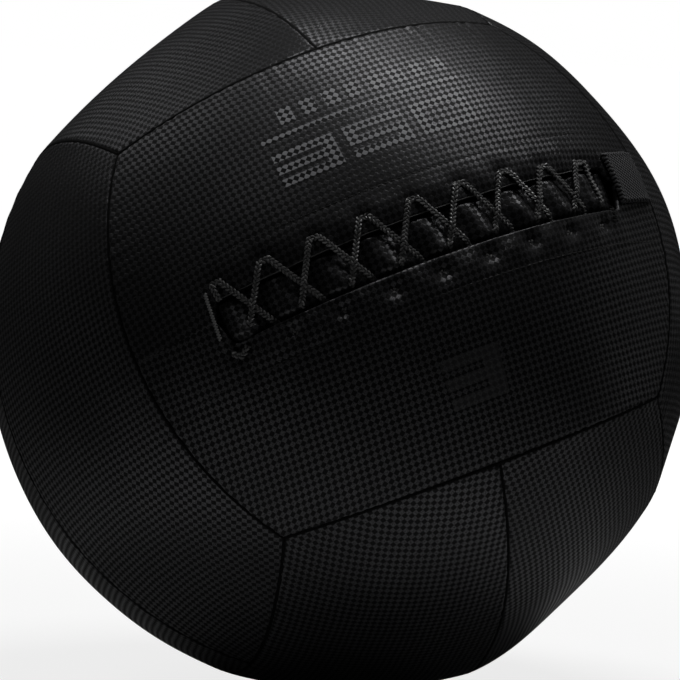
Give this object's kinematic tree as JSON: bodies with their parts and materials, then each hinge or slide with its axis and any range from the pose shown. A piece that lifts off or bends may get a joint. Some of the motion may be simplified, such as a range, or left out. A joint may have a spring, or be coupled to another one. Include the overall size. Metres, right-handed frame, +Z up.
{
  "type": "wall ball",
  "caption": "Large soft medicine ball for wall throws, sewn from coated-cloth panels over a felt liner, with a cord-laced slit, a webbing tab, fibre stuffing and a bagged weight at its centre.",
  "frame": {"origin": "the middle of the flattened patch on which the ball rests, on the floor", "axes": "+Z up from the floor, -Y the way the laced face looks, +X to the right of someone who faces it; the ball lies tilted, with the laced face turned up by 22 degrees and its slit rising to the right by 20.4 degrees, as in the picture"},
  "size_m": [0.353, 0.3478, 0.3478],
  "materials": {
    "coated_cloth": "embossed small square weave, semi-gloss",
    "cord": "round twisted cord",
    "webbing": "twill webbing, matte",
    "facing_tape": "woven tape, matte",
    "felt": "needled felt",
    "fibre": "packed shredded textile",
    "bag_cloth": "plain cotton",
    "tie_cord": "plain cord",
    "grit": "dry grit"
  },
  "bodies": {
    "root": {"front_upper_panel": "coated_cloth", "front_lower_panel": "coated_cloth", "back_upper_panel": "coated_cloth", "back_lower_panel": "coated_cloth", "top_left_panel": "coated_cloth", "top_right_panel": "coated_cloth", "base_left_panel": "coated_cloth", "base_right_panel": "coated_cloth", "left_front_panel": "coated_cloth", "left_back_panel": "coated_cloth", "right_front_panel": "coated_cloth", "right_back_panel": "coated_cloth", "tongue": "coated_cloth", "lace": "cord", "webbing_tab": "webbing", "upper_facing": "facing_tape", "lower_facing": "facing_tape", "felt_liner": "felt", "stuffing_back": "fibre", "stuffing_front": "fibre", "core_bag": "bag_cloth", "core_bag_tie": "tie_cord", "core_weight": "grit"}
  },
  "joints": []
}
